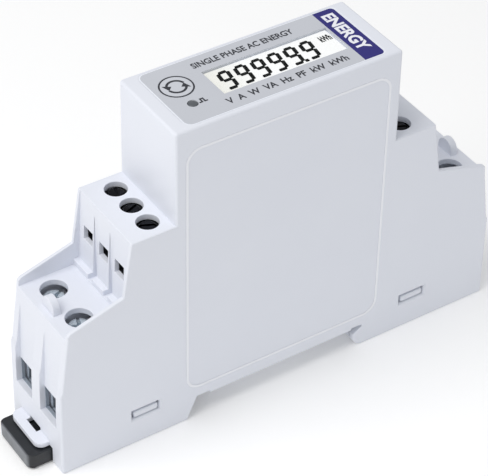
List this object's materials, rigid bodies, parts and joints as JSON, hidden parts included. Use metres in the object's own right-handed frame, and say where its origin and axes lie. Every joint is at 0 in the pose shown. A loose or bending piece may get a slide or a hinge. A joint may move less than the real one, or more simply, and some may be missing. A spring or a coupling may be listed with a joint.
{
  "type": "electricity meter",
  "caption": "Slim one-module rail-mounted electricity meter: stepped white housing, display on the raised block, screw terminals on both steps, sliding rail clip.",
  "frame": {"origin": "centre of the rail seat, on the face of the base that the rail touches", "axes": "+Z away from the rail towards the display, +X along the meter from the sliding clip towards the fixed hook, +Y across the module's width"},
  "size_m": [0.0948, 0.0176, 0.0635],
  "materials": {
    "white_plastic": "fine matt moulded polycarbonate, slightly blue white",
    "base_plastic": "matt moulded plastic",
    "black_plastic": "satin black moulded plastic",
    "label_film": "satin printed polyester film",
    "clear_plastic": "clear polished window",
    "button_film": "satin printed film over a plastic cap",
    "lamp_plastic": "smoked light pipe",
    "display_glass": "reflective liquid crystal panel",
    "diffuser": "white diffuser",
    "elastomer": "layered conductive elastomer",
    "circuit_board": "solder mask over glass epoxy",
    "chip_resin": "moulded epoxy",
    "capacitor_case": "moulded case",
    "capacitor_sleeve": "shrink sleeve",
    "varistor_coat": "dipped epoxy",
    "zinc_steel": "bright zinc plate",
    "black_steel": "black zinc plate",
    "copper": "tinned and bare copper",
    "manganin": "resistance alloy strip"
  },
  "bodies": {
    "enclosure": {"front_housing": "white_plastic", "rear_base": "base_plastic", "label_overlay": "label_film", "display_window": "clear_plastic", "pulse_light_pipe": "lamp_plastic", "lcd_glass": "display_glass", "lcd_frame": "black_plastic", "lcd_backlight": "diffuser", "zebra_strip_near": "elastomer", "zebra_strip_far": "elastomer", "display_board": "circuit_board", "tact_switch_body": "chip_resin", "pulse_led": "diffuser", "main_board": "circuit_board", "board_header": "black_plastic", "metering_chip": "chip_resin", "microcontroller": "chip_resin", "optocoupler_left": "chip_resin", "optocoupler_right": "chip_resin", "crystal_can": "zinc_steel", "film_capacitor": "capacitor_case", "electrolytic_capacitor": "capacitor_sleeve", "varistor": "varistor_coat", "neutral_bar": "copper", "line_bar_left": "copper", "line_bar_right": "copper", "shunt_resistor": "manganin", "signal_block_left": "black_plastic", "signal_block_right": "black_plastic", "signal_contact_left_near": "copper", "signal_contact_left_middle": "copper", "signal_contact_left_far": "copper", "signal_contact_right_near": "copper", "signal_contact_right_middle": "copper", "signal_contact_right_far": "copper"},
    "rail_clip": {"rail_clip": "black_plastic"},
    "scroll_button": {"scroll_button": "button_film"},
    "switch_plunger": {"tact_switch_plunger": "black_plastic"},
    "power_screw_left_far": {"power_screw_left_far": "zinc_steel"},
    "power_cage_left_far": {"power_cage_left_far": "zinc_steel"},
    "power_screw_left_near": {"power_screw_left_near": "zinc_steel"},
    "power_cage_left_near": {"power_cage_left_near": "zinc_steel"},
    "power_screw_right_far": {"power_screw_right_far": "zinc_steel"},
    "power_cage_right_far": {"power_cage_right_far": "zinc_steel"},
    "power_screw_right_near": {"power_screw_right_near": "zinc_steel"},
    "power_cage_right_near": {"power_cage_right_near": "zinc_steel"},
    "signal_screw_left_near": {"signal_screw_left_near": "black_steel"},
    "signal_clamp_left_near": {"signal_clamp_left_near": "zinc_steel"},
    "signal_screw_left_middle": {"signal_screw_left_middle": "black_steel"},
    "signal_clamp_left_middle": {"signal_clamp_left_middle": "zinc_steel"},
    "signal_screw_left_far": {"signal_screw_left_far": "black_steel"},
    "signal_clamp_left_far": {"signal_clamp_left_far": "zinc_steel"},
    "signal_screw_right_near": {"signal_screw_right_near": "black_steel"},
    "signal_clamp_right_near": {"signal_clamp_right_near": "zinc_steel"},
    "signal_screw_right_middle": {"signal_screw_right_middle": "black_steel"},
    "signal_clamp_right_middle": {"signal_clamp_right_middle": "zinc_steel"},
    "signal_screw_right_far": {"signal_screw_right_far": "black_steel"},
    "signal_clamp_right_far": {"signal_clamp_right_far": "zinc_steel"}
  },
  "joints": [
    {"name": "clip_release", "type": "slide", "parent": "enclosure", "child": "rail_clip", "axis": [-1, 0, 0], "range_m": [0, 0.003], "stiffness_N_per_m": 2000, "springref_m": -0.003},
    {"name": "button_press", "type": "slide", "parent": "enclosure", "child": "scroll_button", "axis": [0, 0, -1], "range_m": [0, 0.0004], "stiffness_N_per_m": 3000, "springref_m": -0.0001},
    {"name": "switch_travel", "type": "slide", "parent": "enclosure", "child": "switch_plunger", "axis": [0, 0, -1], "range_m": [0, 0.0004]},
    {"name": "lift_power_cage_left_far", "type": "slide", "parent": "enclosure", "child": "power_cage_left_far", "axis": [0, 0, 1], "range_m": [0, 0.0052]},
    {"name": "turn_power_screw_left_far", "type": "hinge", "parent": "enclosure", "child": "power_screw_left_far", "pos_m": [-0.0383, 0.00425, 0.0212], "axis": [0, 0, -1], "range_deg": [0, 3120.1]},
    {"name": "lift_power_cage_left_near", "type": "slide", "parent": "enclosure", "child": "power_cage_left_near", "axis": [0, 0, 1], "range_m": [0, 0.0052]},
    {"name": "turn_power_screw_left_near", "type": "hinge", "parent": "enclosure", "child": "power_screw_left_near", "pos_m": [-0.0383, -0.00425, 0.0212], "axis": [0, 0, -1], "range_deg": [0, 3120.1]},
    {"name": "lift_power_cage_right_far", "type": "slide", "parent": "enclosure", "child": "power_cage_right_far", "axis": [0, 0, 1], "range_m": [0, 0.0052]},
    {"name": "turn_power_screw_right_far", "type": "hinge", "parent": "enclosure", "child": "power_screw_right_far", "pos_m": [0.0383, 0.00425, 0.0212], "axis": [0, 0, -1], "range_deg": [0, 3120.1]},
    {"name": "lift_power_cage_right_near", "type": "slide", "parent": "enclosure", "child": "power_cage_right_near", "axis": [0, 0, 1], "range_m": [0, 0.0052]},
    {"name": "turn_power_screw_right_near", "type": "hinge", "parent": "enclosure", "child": "power_screw_right_near", "pos_m": [0.0383, -0.00425, 0.0212], "axis": [0, 0, -1], "range_deg": [0, 3120.1]},
    {"name": "lift_signal_clamp_left_near", "type": "slide", "parent": "enclosure", "child": "signal_clamp_left_near", "axis": [0, 0, 1], "range_m": [0, 0.0018]},
    {"name": "turn_signal_screw_left_near", "type": "hinge", "parent": "enclosure", "child": "signal_screw_left_near", "pos_m": [-0.0254, -0.00508, 0.0387], "axis": [0, 0, -1], "range_deg": [0, 1620.1]},
    {"name": "lift_signal_clamp_left_middle", "type": "slide", "parent": "enclosure", "child": "signal_clamp_left_middle", "axis": [0, 0, 1], "range_m": [0, 0.0018]},
    {"name": "turn_signal_screw_left_middle", "type": "hinge", "parent": "enclosure", "child": "signal_screw_left_middle", "pos_m": [-0.0254, 0, 0.0387], "axis": [0, 0, -1], "range_deg": [0, 1620.1]},
    {"name": "lift_signal_clamp_left_far", "type": "slide", "parent": "enclosure", "child": "signal_clamp_left_far", "axis": [0, 0, 1], "range_m": [0, 0.0018]},
    {"name": "turn_signal_screw_left_far", "type": "hinge", "parent": "enclosure", "child": "signal_screw_left_far", "pos_m": [-0.0254, 0.00508, 0.0387], "axis": [0, 0, -1], "range_deg": [0, 1620.1]},
    {"name": "lift_signal_clamp_right_near", "type": "slide", "parent": "enclosure", "child": "signal_clamp_right_near", "axis": [0, 0, 1], "range_m": [0, 0.0018]},
    {"name": "turn_signal_screw_right_near", "type": "hinge", "parent": "enclosure", "child": "signal_screw_right_near", "pos_m": [0.0254, -0.00508, 0.0387], "axis": [0, 0, -1], "range_deg": [0, 1620.1]},
    {"name": "lift_signal_clamp_right_middle", "type": "slide", "parent": "enclosure", "child": "signal_clamp_right_middle", "axis": [0, 0, 1], "range_m": [0, 0.0018]},
    {"name": "turn_signal_screw_right_middle", "type": "hinge", "parent": "enclosure", "child": "signal_screw_right_middle", "pos_m": [0.0254, 0, 0.0387], "axis": [0, 0, -1], "range_deg": [0, 1620.1]},
    {"name": "lift_signal_clamp_right_far", "type": "slide", "parent": "enclosure", "child": "signal_clamp_right_far", "axis": [0, 0, 1], "range_m": [0, 0.0018]},
    {"name": "turn_signal_screw_right_far", "type": "hinge", "parent": "enclosure", "child": "signal_screw_right_far", "pos_m": [0.0254, 0.00508, 0.0387], "axis": [0, 0, -1], "range_deg": [0, 1620.1]}
  ],
  "couplings": [
    {"joint": "switch_travel", "follows": "button_press", "ratio": 1},
    {"joint": "turn_power_screw_left_far", "follows": "lift_power_cage_left_far", "rad_per_m": 10472},
    {"joint": "turn_power_screw_left_near", "follows": "lift_power_cage_left_near", "rad_per_m": 10472},
    {"joint": "turn_power_screw_right_far", "follows": "lift_power_cage_right_far", "rad_per_m": 10472},
    {"joint": "turn_power_screw_right_near", "follows": "lift_power_cage_right_near", "rad_per_m": 10472},
    {"joint": "turn_signal_screw_left_near", "follows": "lift_signal_clamp_left_near", "rad_per_m": 15708},
    {"joint": "turn_signal_screw_left_middle", "follows": "lift_signal_clamp_left_middle", "rad_per_m": 15708},
    {"joint": "turn_signal_screw_left_far", "follows": "lift_signal_clamp_left_far", "rad_per_m": 15708},
    {"joint": "turn_signal_screw_right_near", "follows": "lift_signal_clamp_right_near", "rad_per_m": 15708},
    {"joint": "turn_signal_screw_right_middle", "follows": "lift_signal_clamp_right_middle", "rad_per_m": 15708},
    {"joint": "turn_signal_screw_right_far", "follows": "lift_signal_clamp_right_far", "rad_per_m": 15708}
  ]
}
